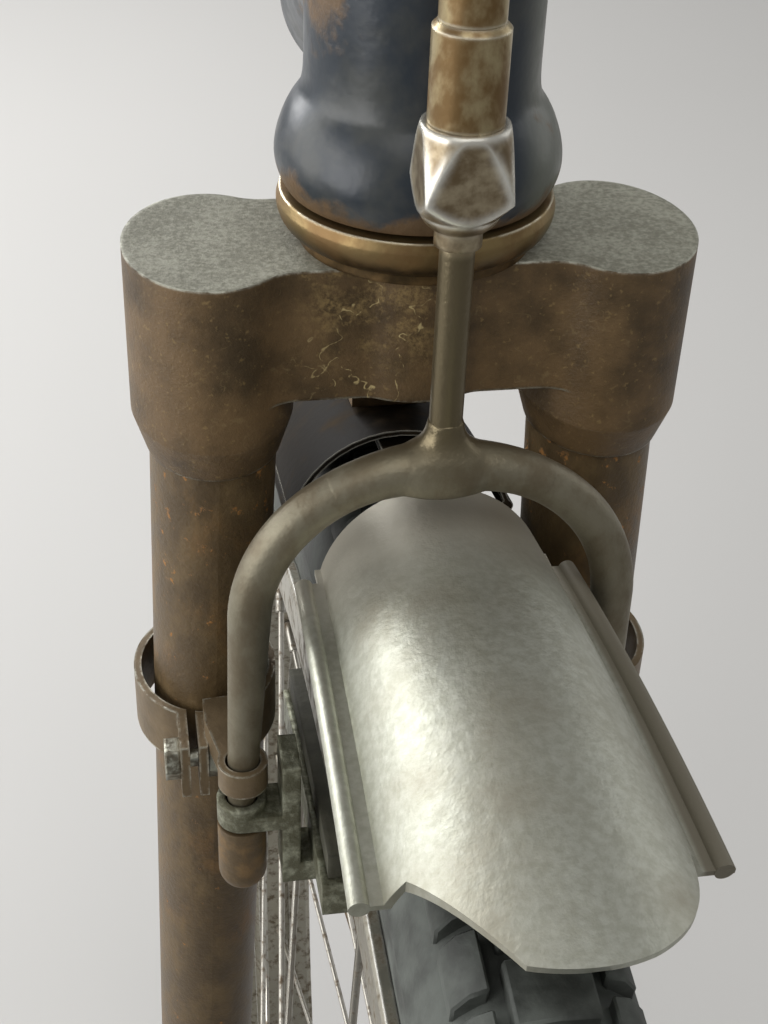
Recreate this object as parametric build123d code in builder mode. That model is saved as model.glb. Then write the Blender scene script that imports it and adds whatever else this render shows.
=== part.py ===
"""Front end of a vintage roadster bicycle, cut off the frame at its two head lugs.

The bicycle faces -Y with its left side at +X and Z up. The origin is the centre of
the down tube socket's mouth. Heights and depths of the pieces are counted from the
crown's top, up along the steering axis and back from it. Sizes are in millimetres.
"""

import os
from math import asin, atan2, cos, degrees, radians, sin, sqrt, tan

from build123d import *

# Fits and gaps shared by the pieces
slip = 0.05          # radial gap of parts that are pushed or brazed together
run = 0.08           # radial gap of parts that turn or slide on each other

# Steering axis and the head of the frame
head_angle = 69.0
tube_r = 16.0
tube_wall = 1.5
tube_low = 24.0
tube_high = 150.0
lug_wall = 2.2
lug_low = 9.3
lug_high = 170.0
lug_sleeve = 58.0    # length of each lug on the head tube
belly_r = 22.8       # widest part of the lower lug's bell
bell_lip_r = 21.1
bell_h = 21.0        # height of the bell under the lower sleeve
collar_r = 21.0
collar_h = 19.0

down_tube_r = 14.3
down_tube_angle = 60.0    # between the down tube and the steering axis
down_tube_h = 52.0        # where its centre line meets the steering axis
down_reach = 56.0
top_tube_r = 12.7
top_tube_h = 122.0
top_reach = 50.0
socket_wall = 2.3
socket_depth = 24.0

# Bearings of the head
cup_r = 19.4
cup_depth = 9.0
ball_gap = 0.9       # between the race on the fork and the bell above it
race_r = 22.5
race_h = 8.4
race_flange = 19.0   # lower edge of the race
race_lip = 1.6
race_foot = 16.5     # foot of the cone that the balls run on

# Steerer and what is screwed on it
steerer_r = 12.7
stem_r = 11.1
steerer_top = 196.0
cone_r = 19.5
cone_h = 8.0
nut_flats = 34.0
nut_h = 9.0

# Crown: a waist between two oval sockets
socket_x = 33.7      # half the distance between the blades
socket_a = 13.8
socket_b = 18.0
socket_h = 36.5
socket_taper = 6.8   # height of each socket's tapered lower end
socket_edge = 0.7    # wall left at the taper's thin end
waist_front = 12.4
waist_back = 15.0
boss_r = 14.9        # around the steerer
boss_blend = 6.0
web_h = 23.5
crown_blend = 9.0

# Blades: oval tubes that splay, taper and bend forward to the axle
blade_a = 11.0
blade_b = 14.4
blade_top = 6.0      # the blade's end inside the socket
bend_start = 190.0
tip_r = 8.0
axle_forward = 60.0
crown_rise = 46.0    # from the tyre's top to the crown's top
splay = 0.036

# Fork ends and axle
end_thick = 5.0
end_tongue = 13.0    # width of the tongue let into the blade
end_r = 12.0
axle_r = 3.95
axle_half = 66.0
axle_nut_flats = 15.0
axle_nut_h = 8.0
eye_r = 5.5
eye_hole_r = 2.6
eye_back = 15.5      # the stay's eye, from the axle
eye_drop = 2.0

# Wheel
tyre_r = 354.0
tyre_half = 15.8
tyre_h = 37.0        # from the rim's bed to the tyre's top
axle_drop = tyre_r + crown_rise
rim_half = 17.5
lip_h = 5.0
shoulder_h = 8.0
keel_h = 4.0
rim_bed = tyre_r - tyre_h
rim_lip = rim_bed + lip_h
rim_track = rim_bed - shoulder_h    # the flat shoulders that the brake pads press on
rim_keel = rim_track - keel_h
rim_wall = 1.6
keel_half = 7.0
spoke_count = 36
spoke_r = 0.9
spoke_crossing = 3
nipple_r = 1.8
nipple_length = 11.0
flange_r = 21.0
flange_hole_r = 18.0
flange_inset = 4.0   # from the hub's end to its flange
flange_thick = 2.6
cone_stand = 8.286   # how far the cones stand out of the hub
hub_bore = 11.0
barrel_wall = 2.4
cap_thick = 1.2      # the hub's ends close in around the cones
cap_gap = 0.3
hub_cone_r = 9.0

# Mudguards: one arc around the tyre, split under the crown
guard_gap = 11.6     # over the tyre
guard_r = tyre_r + guard_gap
guard_wall = 1.0
front_half = 27.6    # at the front end of the front mudguard
front_taper = 3.7    # how much less it is at the rear end
front_shift = 3.6    # the front mudguard sits this far to the left at its front end
front_drop = 14.6    # from its top down to its flat edges
front_edge = 4.8     # width of the flat edges
tongue_half = 19.3
tongue_nose = 8.4    # half the width of its blunt end
tongue_round = 2.2   # how far the blunt end bulges
tongue_swell = 3.2   # how far its left side bulges; its right side is straight
rear_half = 20.5
rear_drop = 15.5
bead_r = 1.5
rear_bead = 1.2
front_guard_from = -6.2      # degrees ahead of the spot right above the axle
front_guard_to = 5.85
front_edge_from = -5.5       # the flat edges start ahead of the dome
tongue_to = 9.2
rear_guard_from = -9.8
rear_guard_to = -104.0
strip_from = -14.0
strip_to = 4.5
bracket_thick = 2.5
bracket_foot = 2.6   # degrees of arc
stay_r = 2.2
stay_angle = -93.0
strip_half = 4.0
bracket_half = 7.0
stay_gap = 0.5
stay_knuckle = 2.4   # radius of the bends beside the rear mudguard
strip_thick = 1.5

# Stirrup brake
rod_forward = 32.0
rod_r = 2.6
stirrup_h = 24.8     # below the crown's top
stirrup_half = 32.6
arm_top_r = 3.6
arm_low_r = 2.5
arm_corner = 29.4    # where the arch and the leg would meet without the bend
arm_bend = 28.5
arm_reach = 3.5      # under the level of the rim's track
arm_end = axle_drop - rim_track + arm_reach
pin_r = 2.2
arm_end_pin = 12.0
hub_flare_r = 4.8
hub_flare_h = 8.0
hub_drop = 4.3
hub_hollow = 9.0     # radius of the flare's hollow side
lug_thick = 3.0
lug_gap = 0.2        # under the end of the arm's thick part
foot_gap = 1.0
foot_r = 4.4
foot_h = 20.1
foot_low = arm_end + foot_h
nut_low = 18.5
nut_high = 31.5
nut_foot = 13.4
nut_foot_r = 3.5
rod_nut_flats = 12.5
sleeve_r = 5.4
sleeve_high = 45.5
upper_rod_r = 4.6
rod_top = 190.0
pad_gap = 3.0        # from the pad to the rim's track
pad_length = 60.0
pad_back = 15.0      # from the stirrup's arms back to the pad's middle
pad_width = 10.5
pad_depth = 11.0
pad_x = 13.75
holder_wall = 1.2
holder_lip = 7.0
cheek_gap = 5.0      # from the rim's side to the holder's upright cheek
cheek_thick = 3.2
cheek_rise = 11.5
heel_x = 16.5        # inner end of the flange under the pad
heel_thick = 4.5
barrel_rise = 2.0    # how far the holder's barrel reaches up around the arm
clip_rise = 0.5      # the clip's middle above the arm's end
clip_h = arm_end - clip_rise
clip_band = 12.0
clip_wall = 1.4
clip_gap = 0.45
clip_slack = 0.9     # the clip stands off the blade's outer side by twice this
clip_bolt_r = 1.7
ear_length = 11.0
ear_thick = 5.0
ear_slot = 1.6
guide_rise = 4.7     # the guide's lower face above the clip's middle
guide_h = clip_h - guide_rise
guide_thick = 5.3
guide_eye_r = 4.4
guide_gap = 0.4

# Directions: the steering axis leans back, and the model is drawn on it
lean = radians(90 - head_angle)
up = Vector(0, sin(lean), cos(lean))
back = Vector(0, cos(lean), -sin(lean))
left = Vector(1, 0, 0)

down_dir = (sin(radians(down_tube_angle)), -cos(radians(down_tube_angle)))
top_dir = (cos(lean), sin(lean))
mouth_back = down_reach * down_dir[0]
mouth_up = down_tube_h + down_reach * down_dir[1]
crown_top = -(back * mouth_back + up * mouth_up)


def spot(x, y, z):
    """The point x to the left, y back and z up from the middle of the crown's top."""
    return crown_top + left * x + back * y + up * z


def level(z, x=0, y=0):
    """A plane square to the steering axis: its x is left and its y is back."""
    return Plane(origin=spot(x, y, z), x_dir=left, z_dir=up)


def side(x=0):
    """A plane along the wheel: its x is back and its y is up the steering axis."""
    return Plane(origin=spot(x, 0, 0), x_dir=back, z_dir=left)


def facing(y=0):
    """A plane across the fork: its x is left and its y is up the steering axis."""
    return Plane(origin=spot(0, y, 0), x_dir=left, z_dir=-back)


axle_spot = spot(0, -axle_forward, -axle_drop)
steer_axis = Axis(crown_top, up)
axle_axis = Axis(axle_spot, left)


def around(angle, x=0):
    """A plane through the axle, angle degrees ahead of the steering axis's direction:
    its x is left and its y is out from the axle."""
    out = up * cos(radians(angle)) - back * sin(radians(angle))
    return Plane(origin=axle_spot + left * x, x_dir=left, z_dir=left.cross(out))


def save(builder, name):
    builder.part.label = name
    export_step(builder.part, f"parts/{name}.step")


os.makedirs("parts", exist_ok=True)
sides = {"left": 1, "right": -1}

# Head tube
with BuildPart() as head_tube:
    with BuildSketch(level(tube_low)):
        Circle(tube_r)
        Circle(tube_r - tube_wall, mode=Mode.SUBTRACT)
    extrude(amount=tube_high - tube_low)
save(head_tube, "head_tube")

# Lower lug: a sleeve on the head tube, a bell over the bearing and the down tube's socket
sleeve_out = tube_r + slip + lug_wall
down_plane = Plane(origin=(0, 0, 0), x_dir=left, z_dir=back * down_dir[0] + up * down_dir[1])
with BuildPart() as lower_lug:
    with BuildSketch(side()):
        with BuildLine():
            bell_top = lug_low + bell_h
            belly_h = lug_low + 0.24 * bell_h
            Line((0, lug_low), (bell_lip_r, lug_low))
            Spline((bell_lip_r, lug_low), (belly_r, belly_h),
                   (sleeve_out + 0.38 * (belly_r - sleeve_out), lug_low + 0.65 * bell_h),
                   (sleeve_out, bell_top), tangents=[(0.6, 1), (0, 1)])
            Line((sleeve_out, bell_top), (sleeve_out, tube_low + lug_sleeve))
            Line((sleeve_out, tube_low + lug_sleeve), (0, tube_low + lug_sleeve))
            Line((0, tube_low + lug_sleeve), (0, lug_low))
        make_face()
    revolve(axis=steer_axis)
    with BuildSketch(down_plane):
        Circle(down_tube_r + socket_wall)
    extrude(amount=-down_reach)
    with BuildSketch(down_plane):
        Circle(down_tube_r + slip)
    extrude(amount=-socket_depth, mode=Mode.SUBTRACT)
    with BuildSketch(level(tube_low)):
        Circle(tube_r + slip)
    extrude(amount=lug_sleeve, mode=Mode.SUBTRACT)
    with BuildSketch(level(lug_low)):
        Circle(tube_r - tube_wall)
    extrude(amount=tube_low - lug_low, mode=Mode.SUBTRACT)
    with BuildSketch(level(lug_low)):
        Circle(cup_r + slip)
    extrude(amount=cup_depth, mode=Mode.SUBTRACT)
save(lower_lug, "lower_head_lug")

# Upper lug: the same idea upside down, with a plain collar and the top tube's socket
top_mouth = spot(0, top_reach * top_dir[0], top_tube_h + top_reach * top_dir[1])
top_plane = Plane(origin=top_mouth, x_dir=left, z_dir=back * top_dir[0] + up * top_dir[1])
with BuildPart() as upper_lug:
    with BuildSketch(side()):
        with BuildLine():
            Polyline((0, tube_high - lug_sleeve), (sleeve_out, tube_high - lug_sleeve),
                     (sleeve_out, lug_high - collar_h))
            collar_low = lug_high - cup_depth - lug_wall
            ThreePointArc((sleeve_out, lug_high - collar_h),
                          (sleeve_out + 0.35 * (collar_r - sleeve_out), (collar_low + lug_high - collar_h) / 2),
                          (collar_r, collar_low))
            Polyline((collar_r, collar_low), (collar_r, lug_high), (0, lug_high), (0, tube_high - lug_sleeve))
        make_face()
    revolve(axis=steer_axis)
    with BuildSketch(top_plane):
        Circle(top_tube_r + socket_wall)
    extrude(amount=-top_reach)
    with BuildSketch(top_plane):
        Circle(top_tube_r + slip)
    extrude(amount=-socket_depth, mode=Mode.SUBTRACT)
    with BuildSketch(level(tube_high - lug_sleeve)):
        Circle(tube_r + slip)
    extrude(amount=lug_sleeve, mode=Mode.SUBTRACT)
    with BuildSketch(level(tube_high)):
        Circle(tube_r - tube_wall)
    extrude(amount=lug_high - tube_high, mode=Mode.SUBTRACT)
    with BuildSketch(level(lug_high - cup_depth)):
        Circle(cup_r + slip)
    extrude(amount=cup_depth, mode=Mode.SUBTRACT)
save(upper_lug, "upper_head_lug")


def ball_cup(base, face):
    """A bearing cup: face is +1 where it opens upward and -1 where it opens downward."""
    with BuildPart() as cup:
        with BuildSketch(side()):
            with BuildLine():
                Polyline((steerer_r + 1.8, base), (cup_r, base), (cup_r, base + face * cup_depth),
                         (cup_r - 1.6, base + face * cup_depth))
                RadiusArc((cup_r - 1.6, base + face * cup_depth), (steerer_r + 1.8, base + face * 2), -face * 6)
                Line((steerer_r + 1.8, base + face * 2), (steerer_r + 1.8, base))
            make_face()
        revolve(axis=steer_axis)
    return cup


save(ball_cup(lug_low + cup_depth, -1), "lower_ball_cup")
save(ball_cup(lug_high - cup_depth, 1), "upper_ball_cup")

# Crown race: the brass ring under the bell, with a cone inside the bearing
with BuildPart() as crown_race:
    with BuildSketch(side()):
        with BuildLine():
            race_edge = race_h - race_lip
            Polyline((steerer_r + slip, 0), (race_flange, 0), (race_flange, race_lip))
            ThreePointArc((race_flange, race_lip), (race_flange + 0.72 * (race_r - race_flange), race_edge / 2),
                          (race_r, race_edge))
            Polyline((race_r, race_edge), (race_r - 0.5, race_h), (race_foot + 0.3, race_h),
                     (steerer_r + 1.2, race_h + 3.6), (steerer_r + slip, race_h + 3.6),
                     (steerer_r + slip, 0))
        make_face()
    revolve(axis=steer_axis)
save(crown_race, "crown_race")

# Steerer, with the adjusting cone and lock nut on its top
with BuildPart() as steerer:
    with BuildSketch(level(-web_h)):
        Circle(steerer_r)
        Circle(stem_r, mode=Mode.SUBTRACT)
    extrude(amount=web_h + steerer_top)
save(steerer, "steerer")

cone_low = lug_high + ball_gap
with BuildPart() as top_cone:
    with BuildSketch(side()):
        with BuildLine():
            Polyline((steerer_r + slip, cone_low - 3.6), (steerer_r + 1.2, cone_low - 3.6),
                     (race_foot + 0.3, cone_low), (cone_r, cone_low), (cone_r, cone_low + cone_h - 2),
                     (cone_r - 2, cone_low + cone_h), (steerer_r + slip, cone_low + cone_h),
                     (steerer_r + slip, cone_low - 3.6))
        make_face()
    revolve(axis=steer_axis)
save(top_cone, "top_cone")

with BuildPart() as lock_nut:
    with BuildSketch(level(cone_low + cone_h)):
        RegularPolygon(nut_flats / 2, 6, major_radius=False)
        Circle(steerer_r + slip, mode=Mode.SUBTRACT)
    extrude(amount=nut_h)
    chamfer(lock_nut.faces().sort_by(steer_axis)[-1].outer_wire().edges(), 1.2)
save(lock_nut, "lock_nut")

# Crown: the waist and the two oval lobes are one casting, and the sockets hang from it
with BuildPart() as crown:
    with BuildSketch(level(-web_h)) as plan:
        with Locations((socket_x, 0), (-socket_x, 0)):
            Ellipse(socket_a, socket_b)
        with Locations((0, (waist_back - waist_front) / 2)):
            Rectangle(2 * socket_x, waist_front + waist_back)
        Circle(boss_r)
        fillet([v for v in plan.vertices() if boss_r < abs(v.X) < socket_x - 1], crown_blend)
        fillet([v for v in plan.vertices() if abs(v.X) < 0.7 * boss_r], boss_blend)
    extrude(amount=web_h)
    taper_high = socket_h - socket_taper
    with BuildSketch(level(-taper_high)):
        with Locations((socket_x, 0), (-socket_x, 0)):
            Ellipse(socket_a, socket_b)
    extrude(amount=taper_high - web_h)
    for sign in sides.values():
        with BuildSketch(level(-taper_high, sign * socket_x)):
            Ellipse(socket_a, socket_b)
        with BuildSketch(level(-socket_h, sign * socket_x)):
            Ellipse(blade_a + slip + socket_edge, blade_b + slip + socket_edge)
        loft()
    with BuildSketch(level(-socket_h)):
        with Locations((socket_x, 0), (-socket_x, 0)):
            Ellipse(blade_a + slip, blade_b + slip)
    extrude(amount=socket_h - blade_top, mode=Mode.SUBTRACT)
    with BuildSketch(level(-web_h)):
        Circle(steerer_r + slip)
    extrude(amount=web_h, mode=Mode.SUBTRACT)
save(crown, "fork_crown")

# Blades: the centre line runs straight and splays, then follows an arc to the axle
bend_length = axle_drop - bend_start
bend_r = (bend_length ** 2 + axle_forward ** 2) / (2 * axle_forward)
full_bend = degrees(asin(bend_length / bend_r))
tip_bend = 0.93 * full_bend


def blade_plane(sign, angle):
    """The plane across the blade's centre line, angle degrees along its bend."""
    y = -bend_r * (1 - cos(radians(angle)))
    z = -bend_start - bend_r * sin(radians(angle))
    x = sign * (socket_x + splay * (-z - socket_h))
    along = up * -cos(radians(angle)) - back * sin(radians(angle))
    return Plane(origin=spot(x, y, z), x_dir=left, z_dir=along)


end_x = socket_x + splay * (axle_drop - socket_h)
hub_half = end_x - end_thick / 2 - cone_stand
flange_x = hub_half - flange_inset
for name, sign in sides.items():
    with BuildPart() as blade:
        with BuildSketch(level(-blade_top, sign * socket_x)):
            Ellipse(blade_a, blade_b)
        extrude(amount=blade_top - socket_h)
        with BuildSketch(level(-socket_h, sign * socket_x)):
            Ellipse(blade_a, blade_b)
        with BuildSketch(blade_plane(sign, 0)):
            Ellipse(blade_a * 0.93, blade_b * 0.9)
        loft()
        for share in (0, 0.5, 1):
            with BuildSketch(blade_plane(sign, tip_bend * share)):
                Ellipse(blade_a * 0.93 + share * (tip_r - blade_a * 0.93),
                        blade_b * 0.9 + share * (tip_r - blade_b * 0.9))
        loft()
        with BuildSketch(blade_plane(sign, tip_bend)):
            with Locations((sign * end_x - blade_plane(sign, tip_bend).origin.X, 0)):
                Rectangle(end_thick + 2 * slip, 3 * tip_r)
        extrude(amount=-14, mode=Mode.SUBTRACT)
    save(blade, f"fork_blade_{name}")

# Fork ends: flat plates let into the blades, slotted for the axle, with an eye for the stay
tip_plane = blade_plane(1, tip_bend)
for name, sign in sides.items():
    with BuildPart() as fork_end:
        tip = blade_plane(sign, tip_bend).origin - axle_spot
        tip_back, tip_up = tip.dot(back), tip.dot(up)
        tongue_angle = degrees(atan2(tip_up, tip_back))
        tongue = sqrt(tip_back ** 2 + tip_up ** 2) + end_tongue
        flat = Plane(origin=axle_spot + left * sign * end_x, x_dir=back, z_dir=left)
        with BuildSketch(flat):
            Circle(end_r)
            with Locations(Location((0, 0, 0), (0, 0, tongue_angle))):
                with Locations((tongue / 2, 0)):
                    Rectangle(tongue, end_tongue)
            with Locations((eye_back, -eye_drop)):
                Circle(eye_r)
            Circle(axle_r + run, mode=Mode.SUBTRACT)
            with Locations(Location((0, 0, 0), (0, 0, -135))):
                with Locations((end_r, 0)):
                    Rectangle(2 * end_r, 2 * (axle_r + run), mode=Mode.SUBTRACT)
            with Locations((eye_back, -eye_drop)):
                Circle(eye_hole_r, mode=Mode.SUBTRACT)
        extrude(amount=end_thick / 2, both=True)
    save(fork_end, f"fork_end_{name}")

# Axle, its cones and nuts
with BuildPart() as axle:
    with BuildSketch(Plane(origin=axle_spot, x_dir=back, z_dir=left)):
        Circle(axle_r)
    extrude(amount=axle_half, both=True)
save(axle, "front_axle")

for name, sign in sides.items():
    inner = end_x - end_thick / 2
    with BuildPart() as cone:
        with BuildSketch(around(0)):
            with BuildLine():
                Polyline((sign * inner, axle_r + slip), (sign * inner, 7.5), (sign * (inner - 5), 7.5),
                         (sign * (inner - 6), hub_cone_r), (sign * (hub_half - cap_thick - 0.3), hub_cone_r),
                         (sign * (hub_half - 5), axle_r + 1.2),
                         (sign * (hub_half - 5), axle_r + slip), (sign * inner, axle_r + slip))
            make_face()
        revolve(axis=axle_axis)
    save(cone, f"hub_cone_{name}")
    outer = end_x + end_thick / 2
    with BuildPart() as nut:
        with BuildSketch(Plane(origin=axle_spot + left * sign * outer, x_dir=back, z_dir=left * sign)):
            Circle(axle_nut_flats / 2 + 1)
            Circle(axle_r + slip, mode=Mode.SUBTRACT)
        extrude(amount=1.5)
        with BuildSketch(Plane(origin=axle_spot + left * sign * (outer + 1.5), x_dir=back, z_dir=left * sign)):
            RegularPolygon(axle_nut_flats / 2, 6, major_radius=False)
            Circle(axle_r + slip, mode=Mode.SUBTRACT)
        extrude(amount=axle_nut_h)
    save(nut, f"axle_nut_{name}")

# Hub shell: a waisted barrel with two drilled flanges
with BuildPart() as hub:
    with BuildSketch(around(0)):
        with BuildLine():
            face_out, face_in = flange_x + flange_thick / 2, flange_x - flange_thick / 2
            barrel_r = hub_bore + barrel_wall
            Polyline((0, 0), (hub_half, 0), (hub_half, barrel_r + 1.5), (face_out, barrel_r + 2.5),
                     (face_out, flange_r), (face_in, flange_r), (face_in, barrel_r + 3))
            ThreePointArc((face_in, barrel_r + 3), (face_in * 0.6, barrel_r + 0.6), (0, barrel_r))
            Line((0, barrel_r), (0, 0))
        make_face()
        mirror(about=Plane.YZ)
    revolve(axis=axle_axis)
    with BuildSketch(Plane(origin=axle_spot - left * hub_half, x_dir=back, z_dir=left)):
        Circle(hub_cone_r + cap_gap)
    extrude(amount=2 * hub_half, mode=Mode.SUBTRACT)
    with BuildSketch(Plane(origin=axle_spot - left * (hub_half - cap_thick), x_dir=back, z_dir=left)):
        Circle(hub_bore)
    extrude(amount=2 * (hub_half - cap_thick), mode=Mode.SUBTRACT)
save(hub, "hub_shell")

# Rim: flat shoulders for the pads and a keel that the spokes pull on
with BuildPart() as rim:
    with BuildSketch(around(0)):
        with BuildLine():
            Polyline((0, rim_keel), (keel_half - 1.5, rim_keel), (keel_half + 1, rim_track),
                     (rim_half - 2, rim_track), (rim_half - 0.4, rim_track + 1), (rim_half, rim_track + 3),
                     (rim_half, rim_lip - 1), (rim_half - 0.5, rim_lip), (rim_half - 2.4, rim_lip),
                     (rim_half - 1.9, rim_bed),
                     (rim_half - 2.2, rim_track + rim_wall + 1.5), (rim_half - 4, rim_track + rim_wall),
                     (keel_half + 0.6, rim_track + rim_wall), (keel_half - 1.9, rim_keel + rim_wall),
                     (0, rim_keel + rim_wall), (0, rim_keel))
        make_face()
        mirror(about=Plane.YZ)
    revolve(axis=axle_axis)
save(rim, "rim")

# Tyre: rounded by flat bands, closed on the rim's bed
with BuildPart() as tyre:
    with BuildSketch(around(0)):
        with BuildLine():
            seat = rim_half - 2.4 - slip
            Polyline((0, rim_bed), (seat, rim_bed), (seat, rim_lip + 0.5), (tyre_half, tyre_r - 0.62 * tyre_h),
                     (0.97 * tyre_half, tyre_r - 0.42 * tyre_h), (0.8 * tyre_half, tyre_r - 0.175 * tyre_h),
                     (0.58 * tyre_half, tyre_r - 0.06 * tyre_h), (0.29 * tyre_half, tyre_r - 0.013 * tyre_h),
                     (0, tyre_r), (0, rim_bed))
        make_face()
        mirror(about=Plane.YZ)
    revolve(axis=axle_axis)
save(tyre, "tyre")

# Spokes: laced across each flange, every other one on the flange's outer face
pitch = 360 / (spoke_count / 2)
for name, sign in sides.items():
    with BuildPart() as spokes:
        for i in range(spoke_count // 2):
            lead = 1 if i % 2 else -1
            hole = i * pitch + (0 if sign > 0 else pitch / 2)
            nipple = hole + lead * spoke_crossing * pitch
            shift = flange_thick / 2 + spoke_r + 0.6
            start = around(hole).from_local_coords((sign * (flange_x + lead * shift), flange_hole_r, 0))
            finish = around(nipple).from_local_coords((sign * 3, rim_keel - 0.35, 0))
            ray = finish - start
            with BuildSketch(Plane(origin=start, z_dir=ray)):
                Circle(spoke_r)
            extrude(amount=ray.length)
            with BuildSketch(Plane(origin=finish, z_dir=-ray)):
                Circle(nipple_r)
            extrude(amount=nipple_length)
    save(spokes, f"spokes_{name}")


# Front mudguard: a dome with a flat edge on each side, wider to the front, that runs on
# into a tongue; its long edges are rolled into beads
fold = guard_r - front_drop
front_arc = tongue_to - front_guard_from


def flap_size(angle):
    """Half the front mudguard's width, and how far its middle is to the left."""
    share = (angle - front_guard_from) / front_arc
    return front_half - front_taper * (1 - share), front_shift * (0.4 + 0.6 * share)


with BuildPart() as front_guard:
    for share in (0, 1 / 3, 2 / 3, 1):
        angle = front_guard_from + share * front_arc
        half, shift = flap_size(angle)
        dome = half - front_edge
        with BuildSketch(around(angle, shift)):
            with BuildLine():
                Line((half, fold), (dome, fold))
                ThreePointArc((dome, fold), (0, guard_r), (-dome, fold))
                Polyline((-dome, fold), (-half, fold), (-half, fold - guard_wall),
                         (-dome + guard_wall, fold - guard_wall))
                ThreePointArc((-dome + guard_wall, fold - guard_wall), (0, guard_r - guard_wall),
                              (dome - guard_wall, fold - guard_wall))
                Polyline((dome - guard_wall, fold - guard_wall), (half, fold - guard_wall), (half, fold))
            make_face()
    loft()
    tongue_length = guard_r * radians(tongue_to - front_guard_to)
    flap_half, flap_shift = flap_size(front_guard_to)
    flap_end = around(front_guard_to, flap_shift)
    with BuildSketch(Plane(origin=flap_end.from_local_coords((0, guard_r, 0)), x_dir=left, z_dir=flap_end.y_dir)):
        with Locations((0, -tongue_length)):
            Rectangle(3 * front_half, 2 * tongue_length)
        with BuildLine():
            corner = -tongue_length + tongue_round
            Line((tongue_half, 0), (-tongue_half, 0))
            Line((-tongue_half, 0), (-tongue_nose, corner))
            ThreePointArc((-tongue_nose, corner), (0, -tongue_length), (tongue_nose, corner))
            ThreePointArc((tongue_nose, corner), ((tongue_nose + tongue_half) / 2 + tongue_swell, corner / 2),
                          (tongue_half, 0))
        make_face(mode=Mode.SUBTRACT)
    extrude(amount=2 * front_drop, both=True, mode=Mode.SUBTRACT)
    with BuildSketch(around(front_guard_from, flap_size(front_guard_from)[1])):
        with Locations((front_half, fold), (-front_half, fold)):
            Rectangle(2 * (front_edge + front_taper - guard_wall), 4 * guard_wall)
    extrude(amount=fold * radians(front_edge_from - front_guard_from), both=True, mode=Mode.SUBTRACT)
    for sign in sides.values():
        beads = []
        for angle in (front_edge_from, 0, front_guard_to):
            half, shift = flap_size(angle)
            beads.append(around(angle, shift).from_local_coords((sign * (half - bead_r), fold - guard_wall / 2, 0)))
        with BuildLine():
            roll = Spline(*beads)
        with BuildSketch(Plane(origin=roll @ 0, z_dir=roll % 0)):
            Circle(bead_r)
        sweep()
save(front_guard, "front_mudguard")

# Rear mudguard: narrower, from under the crown to below the axle's height
rear_arc_r = (rear_half ** 2 + rear_drop ** 2) / (2 * rear_drop)
rear_inside = rear_arc_r - guard_wall
rear_middle = guard_r - rear_arc_r
rear_edge = asin(rear_half / rear_arc_r)
with BuildPart() as rear_guard:
    with BuildSketch(around(rear_guard_to)):
        with BuildLine():
            Line((0, guard_r - guard_wall), (0, guard_r))
            ThreePointArc((0, guard_r),
                          (rear_arc_r * sin(rear_edge / 2), rear_middle + rear_arc_r * cos(rear_edge / 2)),
                          (rear_half, guard_r - rear_drop))
            Line((rear_half, guard_r - rear_drop),
                 (rear_inside * sin(rear_edge), rear_middle + rear_inside * cos(rear_edge)))
            ThreePointArc((rear_inside * sin(rear_edge), rear_middle + rear_inside * cos(rear_edge)),
                          (rear_inside * sin(rear_edge / 2), rear_middle + rear_inside * cos(rear_edge / 2)),
                          (0, guard_r - guard_wall))
        make_face()
        with Locations((rear_half - rear_bead * 0.4, guard_r - rear_drop - rear_bead * 0.7)):
            Circle(rear_bead)
        mirror(about=Plane.YZ)
    revolve(axis=axle_axis, revolution_arc=rear_guard_from - rear_guard_to)
save(rear_guard, "rear_mudguard")

# Strip: riveted under both mudguards, it carries the front one
strip_sink = (strip_half + flap_size(strip_to)[1]) ** 2 / (2 * rear_inside) + slip
with BuildPart() as strip:
    with BuildSketch(around(strip_from)):
        with Locations((0, guard_r - guard_wall - strip_sink - strip_thick / 2)):
            Rectangle(2 * strip_half, strip_thick)
    revolve(axis=axle_axis, revolution_arc=strip_to - strip_from)
save(strip, "mudguard_strip")

# Bracket: an angle bolted behind the crown that the rear mudguard hangs from
guard_under_bracket = -axle_drop + sqrt(guard_r ** 2 - (waist_back + axle_forward) ** 2)
foot_angle = -degrees(asin((waist_back + axle_forward) / guard_r))
with BuildPart() as bracket:
    with BuildSketch(side()):
        with BuildLine():
            Polyline((waist_back, -3), (waist_back + bracket_thick, -3),
                     (waist_back + bracket_thick, guard_under_bracket + bracket_thick),
                     (waist_back + bracket_thick, guard_under_bracket - 4), (waist_back, guard_under_bracket - 4),
                     (waist_back, -3))
        make_face()
    extrude(amount=bracket_half, both=True)
    with BuildSketch(around(foot_angle - bracket_foot)):
        with Locations((0, guard_r + bracket_thick / 2)):
            Rectangle(2 * bracket_half, bracket_thick)
    revolve(axis=axle_axis, revolution_arc=bracket_foot)
    with BuildSketch(Plane(origin=axle_spot - left * 30, x_dir=back, z_dir=left)):
        Circle(guard_r)
    extrude(amount=60, mode=Mode.SUBTRACT)
save(bracket, "mudguard_bracket")

with BuildPart() as bracket_bolt:
    with BuildSketch(Plane(origin=spot(0, waist_back + bracket_thick, -web_h / 2), x_dir=left, z_dir=back)):
        RegularPolygon(5, 6, major_radius=False)
    extrude(amount=4)
save(bracket_bolt, "bracket_bolt")

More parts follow.
